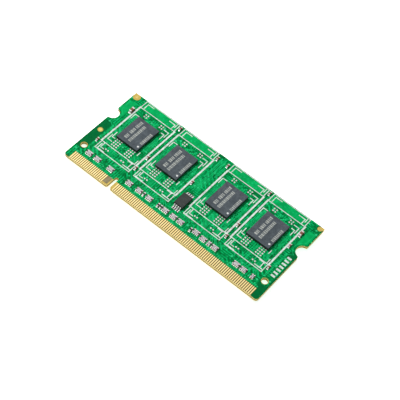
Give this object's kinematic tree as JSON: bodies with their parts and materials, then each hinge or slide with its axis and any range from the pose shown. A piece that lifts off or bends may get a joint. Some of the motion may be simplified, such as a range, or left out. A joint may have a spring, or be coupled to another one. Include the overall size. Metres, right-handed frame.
{
  "type": "memory module",
  "caption": "Laptop-size memory module: green circuit board with gold edge contacts, a keying notch, latch notches, square memory packages on both faces and small passives.",
  "frame": {"origin": "under the board's centre, level with the outer faces of the back packages", "axes": "+X along the board away from the first contact, +Y from the contact edge to the top edge, +Z out of the front face"},
  "size_m": [0.0676, 0.03, 0.0032],
  "materials": {
    "alumina": "alumina",
    "carrier": "package carrier laminate",
    "copper": "rolled copper",
    "dielectric": "brown ceramic dielectric",
    "encapsulant": "slot encapsulant",
    "film": "die-attach film",
    "glaze": "dark overcoat",
    "gold": "hard gold plate",
    "ink": "printed legend",
    "laminate": "bare woven-glass epoxy",
    "mask": "green solder mask",
    "mould": "moulding compound",
    "silicon": "silicon",
    "tin": "solder and tin plate",
    "wire": "gold wire"
  },
  "bodies": {
    "root": {"array_bodies": "alumina", "array_glaze": "glaze", "array_terminals": "tin", "back_balls": "tin", "back_chip_1_carrier": "carrier", "back_chip_1_die": "silicon", "back_chip_1_mould": "mould", "back_chip_2_carrier": "carrier", "back_chip_2_die": "silicon", "back_chip_2_mould": "mould", "back_chip_3_carrier": "carrier", "back_chip_3_die": "silicon", "back_chip_3_mould": "mould", "back_chip_4_carrier": "carrier", "back_chip_4_die": "silicon", "back_chip_4_mould": "mould", "back_contacts_long": "gold", "back_contacts_short": "gold", "back_fiducials": "gold", "back_laminate": "laminate", "back_legend": "ink", "back_pads": "tin", "back_solder_mask": "mask", "bond_wires": "wire", "capacitor_bodies": "dielectric", "capacitor_terminals": "tin", "chip_marks": "ink", "core_laminate": "laminate", "die_attach": "film", "front_balls": "tin", "front_chip_1_carrier": "carrier", "front_chip_1_die": "silicon", "front_chip_1_mould": "mould", "front_chip_2_carrier": "carrier", "front_chip_2_die": "silicon", "front_chip_2_mould": "mould", "front_chip_3_carrier": "carrier", "front_chip_3_die": "silicon", "front_chip_3_mould": "mould", "front_chip_4_carrier": "carrier", "front_chip_4_die": "silicon", "front_chip_4_mould": "mould", "front_contacts_long": "gold", "front_contacts_short": "gold", "front_fiducials": "gold", "front_laminate": "laminate", "front_legend": "ink", "front_pads": "tin", "front_solder_mask": "mask", "ground_plane": "copper", "power_plane": "copper", "resistor_bodies": "alumina", "resistor_glaze": "glaze", "resistor_terminals": "tin", "slot_fill": "encapsulant", "solder_joints": "tin", "spd_body": "mould", "spd_die": "silicon", "spd_leads": "tin", "spd_wires": "wire"}
  },
  "joints": []
}
